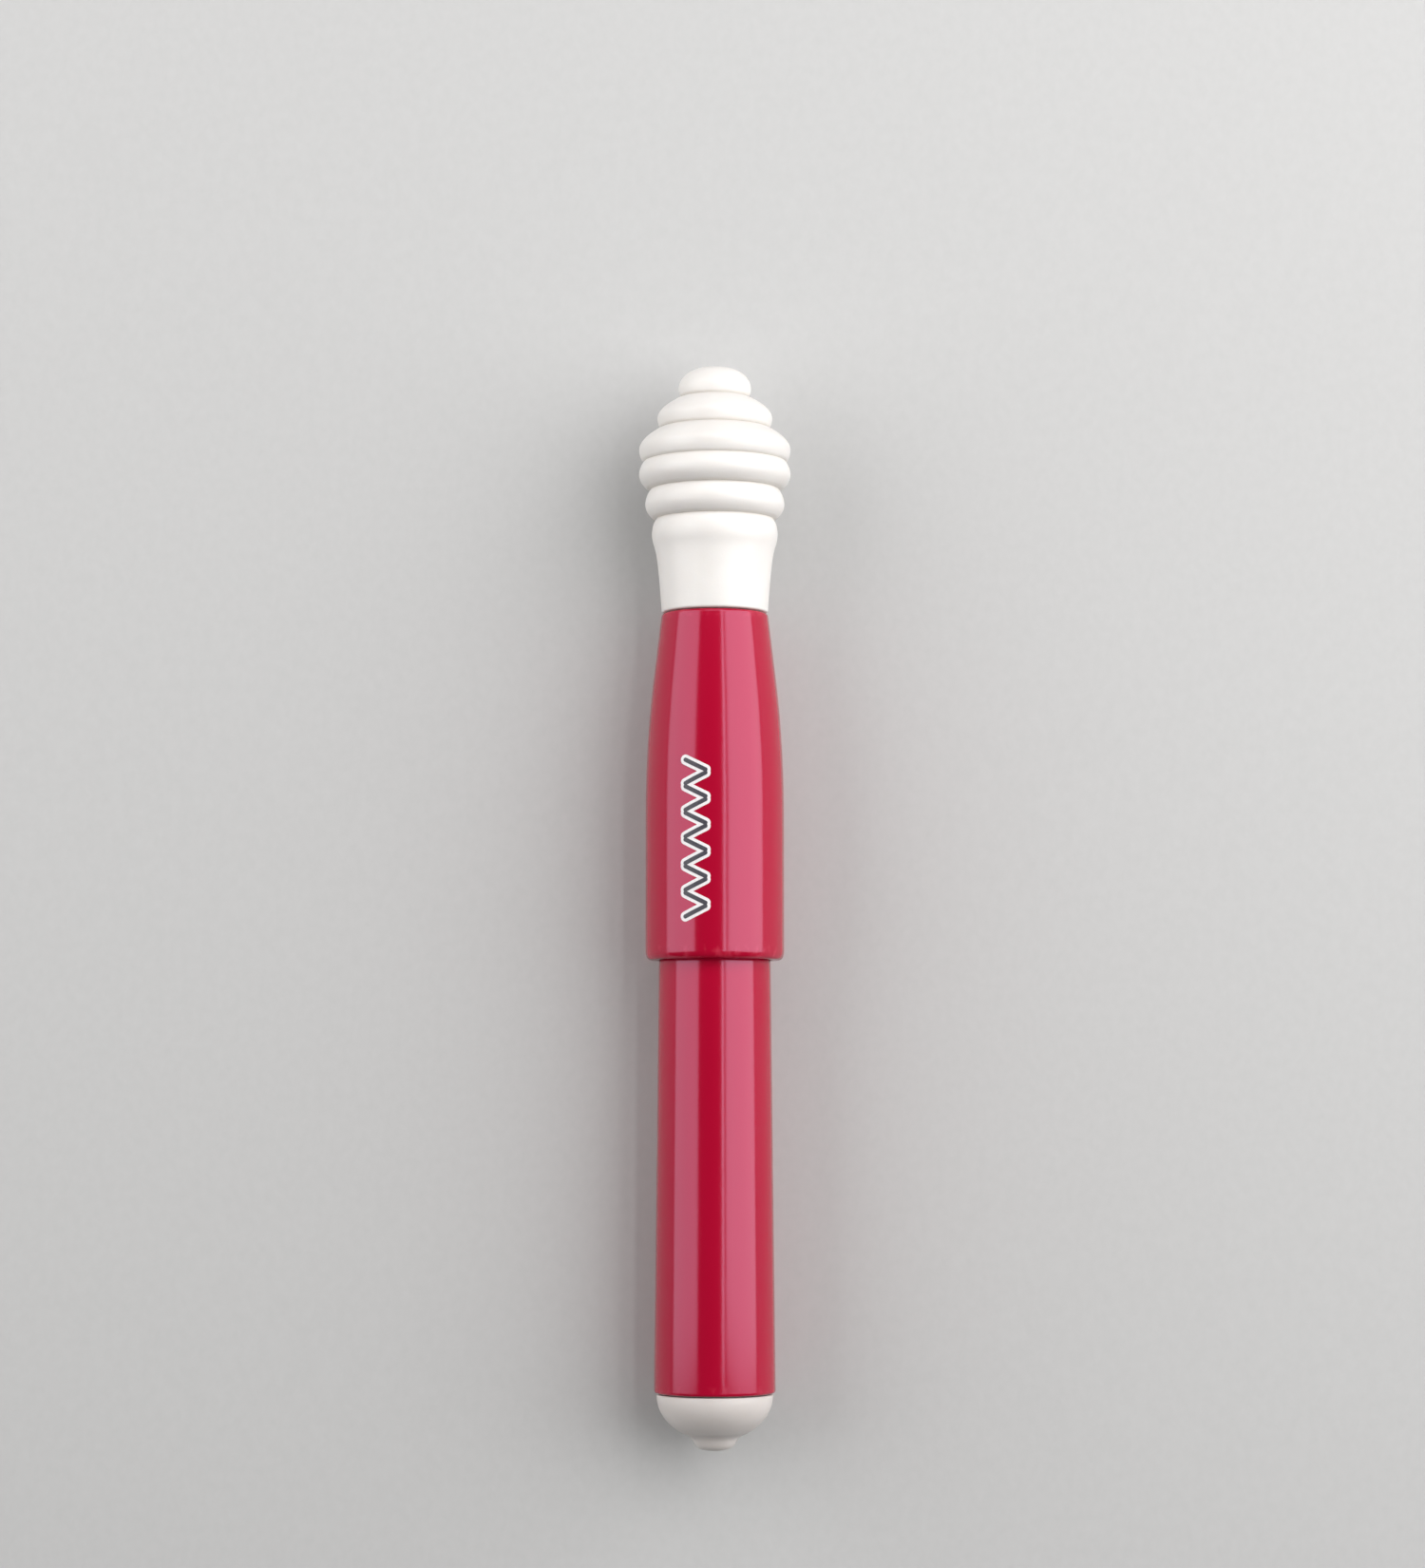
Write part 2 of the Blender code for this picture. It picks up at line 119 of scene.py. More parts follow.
# Blade: distances along it are counted from the nose's face. The rows of the prong and the point
# are (x, distance, bend).
SHAFT_RADIUS, SHAFT_TIP_RADIUS = mm(0.95, 0.35)
TANG_DEPTH, FORK_START, SHAFT_END = mm(12.0, 14.5, 20.0)
FORK_THICKNESS = 0.9 * MM
CROTCH, CROTCH_RADIUS, CROTCH_OFFSET = mm(22.8, 0.8, -0.15)
PRONG = (
    mm(-0.8, 14.5, 0),
    mm(-0.95, 18.5, 3.0),
    mm(-2.0, 24.1, 3.0),
    mm(-2.0, 26.5, 0.3),
    mm(-1.15, 26.5, 0.3),
)
TIP = mm(2.0, 35.0, 0)
POINT = (
    mm(1.0, 28.0, 4.0),
    mm(1.75, 34.0, 1.5),
    TIP,
    mm(2.2, 33.0, 2.0),
    mm(2.15, 26.5, 3.0),
    mm(0.95, 18.5, 4.0),
    mm(0.8, 14.5, 0),
)
TIP_THINNING, THINNING_POWER = 0.72, 1.3
EDGE_THICKNESS, EDGE_DEPTH, EDGE_REACH = 0.12, 0.75 * MM, 1.4
FUSE_VOXEL = 0.085 * MM
FUSE_RELAX, FUSE_ROUNDS = 0.5, 5

# Ball: a bead with a collar and a hole for the prong
BALL_OFFSET, BALL_STATION = mm(-1.55, 26.8)
BALL_RADIUS, BALL_SEAM = mm(1.2, 0.015)
COLLAR_RADIUS, COLLAR_TOP, COLLAR_END = mm(0.72, 1.0, 1.35)
PRONG_HOLE, PRONG_HOLE_END = mm(0.55, 0.2)

# Print on the sleeve: slanted stitches, dark on a white edge
STITCHES = 12
STITCH_PITCH, STITCH_LENGTH, STITCH_WIDTH = mm(1.7, 3.5, 0.55)
STITCH_SLANT = math.radians(26)
STITCH_CORNER = 0.48
STITCH_STEPS, STITCH_LEVEL = 7, 2
PRINT_TOP = 17.25 * MM
PRINT_TURN = math.radians(-16.2)
INK_EDGE, INK_FILM, INK_SINK = mm(0.38, 0.02, 0.005)
CROSSING_LIFT = 0.3

# Meshing
SEGMENTS, NUB_SEGMENTS, BALL_SEGMENTS, SHAFT_SEGMENTS = 160, 128, 64, 48
BEND_SHARE = 0.49
SPINE = 2.0 * MM
WELD = 0.002 * MM
SHARP_ANGLE = math.radians(38)

# Surroundings
CAMERA_DISTANCE = 0.5
CAMERA_STATION = -25.0 * MM
VIEW_CENTRE = Vector((-0.3 * MM, 15.45 * MM, AXIS_HEIGHT))
VIEW_HEIGHT = 203.2 * MM
SENSOR = 24.0
FLOOR_REACH = 3.0
FLOOR_GAP = 0.02 * MM
OUTER_SIZE, OUTER_GLOW, OUTER_TILT, OUTER_DISTANCE = 1.2, 1.6, math.radians(55), 1.0
WORLD_STRENGTH = 0.06
# Each softbox: its turn about x and y in degrees, and its station, distance, size and glow
SOFTBOXES = {
    "left_box": ((0, -60), 0.2, 0.55, (0.55, 0.7), 2.75),
    "right_box": ((0, 54), 0.2, 0.55, (0.69, 0.7), 3.8),
    "thin_strip": ((0, 16), 0.2, 0.53, (0.03, 0.7), 6.5),
    "far_box": ((-36, 0), 0.1, 0.5, (0.4, 0.25), 2.3),
}


# Outlines


def arc(centre, radii, start, end, count):
    """Points on an ellipse about centre between two angles, in degrees from the +radius way."""
    points = []
    for i in range(count + 1):
        angle = math.radians(start + (end - start) * i / count)
        points.append(
            (centre[0] + radii[0] * math.cos(angle), centre[1] + radii[1] * math.sin(angle))
        )
    return points


def rounded(corners, count=5):
    """A polyline whose corners, given as (radius, station, bend), turn in soft bends.

    A bend is a distance from its corner, and takes up at most BEND_SHARE of an edge.
    """
    outline = []
    for i, (x, y, bend) in enumerate(corners):
        if bend == 0 or i in (0, len(corners) - 1):
            outline.append((x, y))
            continue
        here = Vector((x, y))
        before = Vector(corners[i - 1][:2])
        after = Vector(corners[i + 1][:2])
        start = here + (before - here).normalized() * min(bend, (before - here).length * BEND_SHARE)
        end = here + (after - here).normalized() * min(bend, (after - here).length * BEND_SHARE)
        for step in range(count + 1):
            t = step / count
            point = start * (1 - t) ** 2 + here * 2 * t * (1 - t) + end * t**2
            outline.append((point.x, point.y))
    return outline


def swell(start, end, power, count=12):
    """Points from a groove out to a crest, steep at first and level at the crest."""
    points = []
    for i in range(1, count + 1):
        share = math.sin(math.pi / 2 * i / count) ** power
        station = start[1] + (end[1] - start[1]) * i / count
        points.append((start[0] + (end[0] - start[0]) * share, station))
    return points


def head_outline():
    """Down the outside from the dome to the sleeve, then up the hollow that the core fills."""
    grooves = [(radius, HEAD_END - groove) for radius, groove in zip(GROOVE_RADII, GROOVES)]
    height = GROOVES[0] * DOME_SHARE
    centre = (DOME_FLAT, HEAD_END - height)
    outline = [(0.0, HEAD_END)] + arc(centre, (DOME_RADIUS - DOME_FLAT, height), 90, 0, 16)
    outline += swell(grooves[0], outline[-1], UNDERSIDE_POWER, 8)[-2::-1]
    for above, below, radius, shoulder in zip(grooves, grooves[1:], TIER_CRESTS, TIER_SHOULDERS):
        crest = (radius, above[1] + (below[1] - above[1]) * shoulder)
        outline += [above] + swell(above, crest, TOP_POWER)
        outline += swell(below, crest, UNDERSIDE_POWER)[-2::-1]
    neck = [(radius, grooves[-1][1] - depth, bend) for radius, depth, bend in NECK]
    seam = [
        (SEAM_RADIUS, SLEEVE_TOP + SEAM_BEVEL, 0.2 * MM),
        (SEAM_RADIUS - SEAM_BEVEL, SLEEVE_TOP + SEAM_GAP, 0),
    ]
    outline += rounded([(*grooves[-1], 0)] + neck + seam)
    outline += rounded(
        [
            (CORE_NECK + CORE_GAP, SLEEVE_TOP + SEAM_GAP, 0),
            (CORE_NECK + CORE_GAP, CORE_NECK_END, 1.0 * MM),
            (CORE_BULB + CORE_GAP, BULB_FOOT, 1.0 * MM),
            (CORE_BULB + CORE_GAP, BULB_TOP, 3.0 * MM),
            (CORE_CROWN, CORE_TOP + CORE_TOP_GAP, 1.5 * MM),
            (0.0, CORE_TOP + CORE_TOP_GAP, 0),
        ]
    )
    return outline


def core_outline():
    """Down the outside from the crown to the foot, then up the bore round the blade's point."""
    return rounded(
        [
            (0.0, CORE_TOP, 0),
            (CORE_CROWN, CORE_TOP, 1.5 * MM),
            (CORE_BULB, BULB_TOP, 3.0 * MM),
            (CORE_BULB, BULB_FOOT, 1.0 * MM),
            (CORE_NECK, CORE_NECK_END, 1.0 * MM),
            (CORE_NECK, SLEEVE_TOP + CORE_NECK_START, 0.2 * MM),
            (CORE_COLLAR, SLEEVE_TOP + CORE_COLLAR_TOP, 0.2 * MM),
            (CORE_FOOT_RADIUS, CORE_FOOT, 0.3 * MM),
            (CORE_BORE, CORE_FOOT, 0.4 * MM),
            (CORE_BORE, CORE_BORE_TOP, 3.0 * MM),
            (0.0, CORE_BORE_TOP, 0),
        ]
    )


def sleeve_outline():
    """Down the outside from the seam with the head, round the rim and up the bore, closed."""
    bore = CAP_RADIUS - SLEEVE_WALL
    taper_bore = SEAM_RADIUS - SLEEVE_WALL
    return rounded(
        [
            (taper_bore, SLEEVE_TOP - 0.2 * MM, 0),
            (taper_bore, SLEEVE_TOP, 0),
            (SEAM_RADIUS, SLEEVE_TOP, 0.45 * MM),
            (CAP_RADIUS, SLEEVE_SHOULDER, 9.0 * MM),
            (CAP_RADIUS, CAP_RIM, RIM_ROUND),
            (bore, CAP_RIM, 0.35 * MM),
            (bore, SLEEVE_SHOULDER - 1.0 * MM, 4.0 * MM),
            (taper_bore, SLEEVE_TOP - 0.2 * MM, 0),
        ],
        count=10,
    )


def grip_rings():
    """The low rings that the cap's mouth grips, as corners."""
    corners = []
    crest = NOSE_RADIUS + GRIP_HEIGHT
    for i in range(GRIP_RINGS):
        middle = NOSE_FACE - CONE_LENGTH - (i + FIRST_GRIP) * GRIP_PITCH
        corners += [
            (NOSE_RADIUS, middle + GRIP_HALF, 0.1 * MM),
            (crest, middle + GRIP_FLAT, 0.2 * MM),
            (crest, middle - GRIP_FLAT, 0.2 * MM),
            (NOSE_RADIUS, middle - GRIP_HALF, 0.1 * MM),
        ]
    return corners


def handle_outline():
    """Up the tang's hole, down the nose and the barrel, and up the barrel's hollow."""
    tang_end = NOSE_FACE - TANG_DEPTH - TANG_GAP
    rim_bore = BARREL_RIM_RADIUS - BARREL_WALL
    end_bore = BARREL_END_RADIUS - BARREL_WALL
    nose = [
        (0.0, tang_end, 0),
        (TANG_HOLE, tang_end, 0.1 * MM),
        (TANG_HOLE, NOSE_FACE, 0.12 * MM),
        (NOSE_FACE_RADIUS, NOSE_FACE, 0.8 * MM),
        (NOSE_RADIUS, NOSE_FACE - CONE_LENGTH, 1.2 * MM),
    ]
    barrel = [
        (NOSE_RADIUS, CAP_RIM + STEP_START, 0.4 * MM),
        (BARREL_RIM_RADIUS, CAP_RIM + STEP_END, 0.4 * MM),
        (BARREL_END_RADIUS, BARREL_END, 0.4 * MM),
        (end_bore, BARREL_END, 0.15 * MM),
        (rim_bore, HOLLOW_TAPER, 1.0 * MM),
        (rim_bore, HOLLOW_TOP, 1.6 * MM),
        (0.0, HOLLOW_TOP, 0),
    ]
    return rounded(nose + grip_rings() + barrel)


def nub_outline():
    """Up the hollow that the stud fills, out at the barrel's end, and down to the foot's end."""
    seam = BARREL_END - NUB_GAP
    shoulder = BARREL_END - NUB_SHOULDER
    corners = [
        (0.0, BARREL_END - STUD_END, 0),
        (STUD_HEAD, BARREL_END - STUD_END, 0.2 * MM),
        (STUD_HEAD, BARREL_END - STUD_STEP, 0.2 * MM),
        (STUD_NECK, BARREL_END - STUD_NECK_END, 0.2 * MM),
        (STUD_NECK, seam, 0),
        (NUB_SEAM_RADIUS, seam, 0.1 * MM),
        (NUB_RADIUS, seam - NUB_EDGE, 0.2 * MM),
    ]
    dome = arc((0.0, seam - NUB_EDGE), (NUB_RADIUS, NUB_HEIGHT), -4, -57, 26)
    foot = [(*dome[-1], 0)]
    foot += [(radius, shoulder - depth, bend) for radius, depth, bend in NUB_FOOT]
    foot += [(radius, NUB_END + height, bend) for radius, height, bend in NUB_TIP]
    foot += [(0.0, NUB_END, 0)]
    return rounded(corners) + dome[:-1] + rounded(foot)


def ball_outline():
    """A bead with a short collar where the prong goes in, and a moulded seam at its middle."""
    middle = NOSE_FACE + BALL_STATION
    outline = arc((0.0, middle), (BALL_RADIUS, BALL_RADIUS), 90, 3, 18)
    outline += [(BALL_RADIUS + BALL_SEAM, middle)]
    outline += arc((0.0, middle), (BALL_RADIUS, BALL_RADIUS), -3, -54, 12)
    outline += rounded(
        [
            (COLLAR_RADIUS, middle - COLLAR_TOP, 0),
            (COLLAR_RADIUS, middle - COLLAR_END, 0.1 * MM),
            (PRONG_HOLE, middle - COLLAR_END, 0.05 * MM),
            (PRONG_HOLE, middle - PRONG_HOLE_END, 0.1 * MM),
            (0.0, middle - PRONG_HOLE_END, 0),
        ]
    )
    return outline


def shaft_outline():
    """The blade's round shaft, from inside the fork down to the tang's end."""
    foot = NOSE_FACE - TANG_DEPTH
    return rounded(
        [
            (0.0, NOSE_FACE + SHAFT_END, 0),
            (SHAFT_TIP_RADIUS, NOSE_FACE + SHAFT_END, 0),
            (SHAFT_RADIUS, NOSE_FACE + FORK_START, 2.0 * MM),
            (SHAFT_RADIUS, foot, 0.1 * MM),
            (0.0, foot, 0),
        ]
    )


def fork_outline():
    """Up the ball's side, round the cutting crotch, out to the point and back."""
    middle = (CROTCH_OFFSET, NOSE_FACE + CROTCH + CROTCH_RADIUS)
    prong = [(x, NOSE_FACE + reach, bend) for x, reach, bend in PRONG]
    point = [(x, NOSE_FACE + reach, bend) for x, reach, bend in POINT]
    prong = rounded(prong + [(CROTCH_OFFSET - CROTCH_RADIUS, middle[1], 0)])
    crotch = arc(middle, (CROTCH_RADIUS, CROTCH_RADIUS), 180, 360, 20)[1:]
    return prong + crotch + rounded([(*crotch[-1], 0)] + point)[1:]


# Node trees


class Nodes:
    """Adds nodes to a node tree."""

    def __init__(self, tree):
        self.tree = tree

    def add(self, kind, settings=None, sockets=None):
        """Adds a node, sets its properties, then feeds its sockets."""
        made = self.tree.nodes.new(kind)
        for key, value in (settings or {}).items():
            setattr(made, key, value)
        for key, value in (sockets or {}).items():
            self.feed(made.inputs[key], value)
        return made

    def feed(self, socket, value):
        """Gives a socket a constant, or links it to an output or to each of a list of them."""
        for source in value if isinstance(value, list) else [value]:
            if isinstance(source, Value):
                source = source.socket
            if hasattr(source, "is_output"):
                self.tree.links.new(source, socket)
            else:
                socket.default_value = source


class Value:
    """A shader socket that can stand in a sum. Each operator adds the Math node it needs."""

    def __init__(self, finish, socket):
        self.finish = finish
        self.socket = socket

    def maths(self, operation, first, second):
        """The result of a Math node."""
        made = self.finish.add("ShaderNodeMath", {"operation": operation}, {0: first, 1: second})
        return Value(self.finish, made.outputs[0])

    def __add__(self, other):
        return self.maths("ADD", self, other)

    def __sub__(self, other):
        return self.maths("SUBTRACT", self, other)

    def __rsub__(self, other):
        return self.maths("SUBTRACT", other, self)

    def __mul__(self, other):
        return self.maths("MULTIPLY", self, other)

    def __truediv__(self, other):
        return self.maths("DIVIDE", self, other)

    def __pow__(self, other):
        return self.maths("POWER", self, other)

    __radd__ = __add__
    __rmul__ = __mul__

    def clamped(self):
        """The value, kept from 0 to 1."""
        return self.maths("MAXIMUM", self.maths("MINIMUM", self, 1.0), 0.0)

    def between(self, low, high):
        """0 up to low, 1 from high on, and a straight ramp between them."""
        return ((self - low) / (high - low)).clamped()


# Geometry node trees


class Tree(Nodes):
    """A geometry node tree in the making, with named inputs."""

    def __init__(self, name, **inputs):
        super().__init__(bpy.data.node_groups.new(name, "GeometryNodeTree"))
        sockets = self.tree.interface
        sockets.new_socket("Geometry", in_out="INPUT", socket_type="NodeSocketGeometry")
        sockets.new_socket("Geometry", in_out="OUTPUT", socket_type="NodeSocketGeometry")
        for label, kind in inputs.items():
            sockets.new_socket(label, in_out="INPUT", socket_type="NodeSocket" + kind)
        self.inputs = self.add("NodeGroupInput").outputs

    def node(self, kind, settings=None, sockets=None):
        """Adds a node and returns its first output."""
        return self.add(kind, settings, sockets).outputs[0]

    def maths(self, operation, first, second=0.0):
        """The result of a Math node."""
        return self.node("ShaderNodeMath", {"operation": operation}, {0: first, 1: second})

    def vector(self, **parts):
        """A vector from any of X, Y and Z, with 0 for the others."""
        return self.node("ShaderNodeCombineXYZ", None, parts)

    def finish(self, geometry):
        """Realizes the geometry, gives it the tree's material and sends it out."""
        geometry = self.node("GeometryNodeRealizeInstances", None, {0: geometry})
        sockets = {"Geometry": geometry, "Material": self.inputs["Material"]}
        geometry = self.node("GeometryNodeSetMaterial", None, sockets)
        self.add("NodeGroupOutput", None, {0: geometry})
        return self.tree


def turned_tree():
    """Sweeps a profile round the tool's long axis and welds its seam and poles."""
    tree = Tree(
        "turned",
        Spine="Float",
        Segments="Int",
        Weld="Float",
        Centre="Vector",
        Material="Material",
    )
    given = tree.inputs
    profile = tree.node("GeometryNodeMeshToCurve", None, {"Mesh": given["Geometry"]})
    spine = tree.node(
        "GeometryNodeCurvePrimitiveCircle",
        {"mode": "RADIUS"},
        {"Resolution": given["Segments"], "Radius": given["Spine"]},
    )
    swept = tree.node("GeometryNodeCurveToMesh", None, {"Curve": spine, "Profile Curve": profile})
    upright = (math.pi / 2, 0.0, 0.0)
    placed = tree.node(
        "GeometryNodeTransform",
        None,
        {"Geometry": swept, "Translation": given["Centre"], "Rotation": upright},
    )
    sockets = {"Geometry": placed, "Distance": given["Weld"]}
    return tree.finish(tree.node("GeometryNodeMergeByDistance", None, sockets))


def stitch(tree):
    """One stitch: a bar with round ends, filled and raised by the film's thickness."""
    given = tree.inputs
    bar = tree.node(
        "GeometryNodeCurvePrimitiveQuadrilateral",
        None,
        {"Width": given["Length"], "Height": given["Width"]},
    )
    corner = tree.maths("MULTIPLY", given["Width"], STITCH_CORNER)
    sockets = {"Curve": bar, "Count": STITCH_STEPS, "Radius": corner}
    bar = tree.node("GeometryNodeFilletCurve", {"mode": "POLY"}, sockets)
    sheet = tree.node("GeometryNodeFillCurve", {"mode": "TRIANGLES"}, {"Curve": bar})
    sheet = tree.node("GeometryNodeSubdivideMesh", None, {"Mesh": sheet, "Level": STITCH_LEVEL})
    sockets = {"Mesh": sheet, "Offset Scale": given["Film"], "Individual": False}
    top = tree.node("GeometryNodeExtrudeMesh", None, sockets)
    underside = tree.node("GeometryNodeFlipFaces", None, {"Mesh": sheet})
    both = tree.node("GeometryNodeJoinGeometry", None, {"Geometry": [top, underside]})
    sockets = {"Geometry": both, "Distance": 0.001 * MM}
    return tree.node("GeometryNodeMergeByDistance", None, sockets)


def print_tree():
    """Lays a column of slanted stitches, each a thin film of ink, round the sleeve's surface."""
    tree = Tree(
        "stitch_print",
        Count="Int",
        Top="Float",
        Pitch="Float",
        Length="Float",
        Width="Float",
        Slant="Float",
        Turn="Float",
        Radius="Float",
        Film="Float",
        Height="Float",
        Material="Material",
    )
    given = tree.inputs
    down = tree.maths("MULTIPLY", given["Pitch"], -1.0)
    row = tree.node(
        "GeometryNodeMeshLine",
        {"mode": "OFFSET"},
        {
            "Count": given["Count"],
            "Start Location": tree.vector(Y=given["Top"]),
            "Offset": tree.vector(Y=down),
        },
    )
    parity = tree.maths("MODULO", tree.node("GeometryNodeInputIndex"), 2.0)
    step = tree.maths("MULTIPLY", tree.maths("MULTIPLY", parity, CROSSING_LIFT), given["Film"])
    sockets = {"Geometry": row, "Offset": tree.vector(Z=step)}
    row = tree.node("GeometryNodeSetPosition", None, sockets)
    side = tree.maths("SUBTRACT", tree.maths("MULTIPLY", parity, 2.0), 1.0)
    slant = tree.maths("MULTIPLY", side, given["Slant"])
    sockets = {"Points": row, "Instance": stitch(tree), "Rotation": tree.vector(Z=slant)}
    placed = tree.node("GeometryNodeInstanceOnPoints", None, sockets)
    flat = tree.node("GeometryNodeRealizeInstances", None, {0: placed})
    here = tree.node("GeometryNodeInputPosition")
    x, y, z = tree.add("ShaderNodeSeparateXYZ", None, {0: here}).outputs
    angle = tree.maths("ADD", tree.maths("DIVIDE", x, given["Radius"]), given["Turn"])
    reach = tree.maths("ADD", given["Radius"], z)
    across = tree.maths("MULTIPLY", tree.maths("SINE", angle), reach)
    up = tree.maths("MULTIPLY", tree.maths("COSINE", angle), reach)
    wrapped = tree.vector(X=across, Y=y, Z=tree.maths("ADD", up, given["Height"]))
    sockets = {"Geometry": flat, "Position": wrapped}
    return tree.finish(tree.node("GeometryNodeSetPosition", None, sockets))


TURNED = turned_tree()
PRINTED = print_tree()


# Pieces from the trees


def added(name, data):
    """A new object in the scene, at the origin."""
    piece = bpy.data.objects.new(name, data)
    bpy.context.scene.collection.objects.link(piece)
    return piece


def evaluated_mesh(source):
    """The mesh that an object's curve or modifiers make, as plain data."""
    bpy.context.view_layer.update()
    evaluated = source.evaluated_get(bpy.context.evaluated_depsgraph_get())
    return bpy.data.meshes.new_from_object(evaluated)


def grown(name, mesh, tree, **values):
    """Runs a tree on a mesh and returns its result as a plain object at the origin."""
    source = added(name + "_source", mesh)
    modifier = source.modifiers.new(tree.name, "NODES")
    modifier.node_group = tree
    for item in tree.interface.items_tree:
        if item.in_out == "INPUT" and item.name in values:
            modifier[item.identifier] = values[item.name]
    result = evaluated_mesh(source)
    result.name = name
    bpy.data.objects.remove(source, do_unlink=True)
    return added(name, result)


def face_outwards(mesh, weld=0.0):
    """Turns every face outwards, after welding points closer than weld."""
    shape = bmesh.new()
    shape.from_mesh(mesh)
    if weld:
        bmesh.ops.remove_doubles(shape, verts=shape.verts, dist=weld)
    bmesh.ops.recalc_face_normals(shape, faces=shape.faces)
    shape.to_mesh(mesh)
    shape.free()


def turned(name, outline, material, offset=0.0, segments=SEGMENTS):
    """A turned piece from its (radius, station) outline, its axis moved sideways by offset."""
    mesh = bpy.data.meshes.new(name + "_outline")
    points = [(radius - SPINE, station, 0.0) for radius, station in outline]
    mesh.from_pydata(points, [(i, i + 1) for i in range(len(points) - 1)], [])
    piece = grown(
        name,
        mesh,
        TURNED,
        Spine=SPINE,
        Segments=segments,
        Weld=WELD,
        Centre=(offset, 0.0, AXIS_HEIGHT),
        Material=material,
    )
    face_outwards(piece.data)
    piece.data.shade_smooth()
    piece.data.set_sharp_from_angle(angle=SHARP_ANGLE)
    return piece


def print_layer(name, material, growth, lift):
    """One colour of the print. growth widens each stitch, and lift keeps dark ink over white."""
    return grown(
        name,
        bpy.data.meshes.new(name + "_seed"),
        PRINTED,
        Count=STITCHES,
        Top=PRINT_TOP,
        Pitch=STITCH_PITCH,
        Length=STITCH_LENGTH + growth,
        Width=STITCH_WIDTH + growth,
        Slant=STITCH_SLANT,
        Turn=PRINT_TURN,
        Radius=CAP_RADIUS + lift,
        Film=INK_FILM,
        Height=AXIS_HEIGHT,
        Material=material,
    )


# Blade


def fork_plate():
    """The fork as a flat plate in the tool's middle plane."""
    curve = bpy.data.curves.new("fork_outline", "CURVE")
    curve.dimensions = "2D"
    curve.fill_mode = "BOTH"
    curve.extrude = FORK_THICKNESS / 2
    spline = curve.splines.new("POLY")
    outline = fork_outline()
    spline.points.add(len(outline) - 1)
    for point, (x, y) in zip(spline.points, outline):
        point.co = (x, y, 0.0, 1.0)
    spline.use_cyclic_u = True
    flat = added("fork_outline", curve)
    mesh = evaluated_mesh(flat)
    bpy.data.objects.remove(flat, do_unlink=True)
    face_outwards(mesh, WELD)
    return mesh


def hone(co):
    """The share of its thickness that a point of the blade keeps, near the tip and the crotch."""
    reach = co.y - NOSE_FACE
    past = min(1.0, max(0.0, (reach - CROTCH) / (TIP[1] - CROTCH)))
    kept = 1.0 - TIP_THINNING * past**THINNING_POWER
    if reach < CROTCH + CROTCH_RADIUS * EDGE_REACH:
        to_middle = math.hypot(co.x - CROTCH_OFFSET, reach - CROTCH - CROTCH_RADIUS)
        depth = max(0.0, to_middle - CROTCH_RADIUS) / EDGE_DEPTH
        kept *= min(1.0, EDGE_THICKNESS + (1.0 - EDGE_THICKNESS) * depth)
    return kept


def blade_piece(material):
    """Shaft and fork fused, smoothed where they flow together, then honed."""
    shaft = turned("blade", shaft_outline(), material, segments=SHAFT_SEGMENTS)
    plate = added("fork_plate", fork_plate())
    plate.location.z = AXIS_HEIGHT
    union = shaft.modifiers.new("fork", "BOOLEAN")
    union.operation = "UNION"
    union.object = plate
    fuse = shaft.modifiers.new("fuse", "REMESH")
    fuse.mode = "VOXEL"
    fuse.voxel_size = FUSE_VOXEL
    relax = shaft.modifiers.new("relax", "SMOOTH")
    relax.factor = FUSE_RELAX
    relax.iterations = FUSE_ROUNDS
    mesh = evaluated_mesh(shaft)
    for vertex in mesh.vertices:
        vertex.co.z = AXIS_HEIGHT + (vertex.co.z - AXIS_HEIGHT) * hone(vertex.co)
    mesh.name = "blade"
    bpy.data.objects.remove(shaft, do_unlink=True)
    bpy.data.objects.remove(plate, do_unlink=True)
    mesh.materials.clear()
    mesh.materials.append(material)
    mesh.shade_smooth()
    return added("forked_blade", mesh)


# Materials


def rgb(red, green, blue):
    """A linear colour, opaque."""
    return (red, green, blue, 1.0)


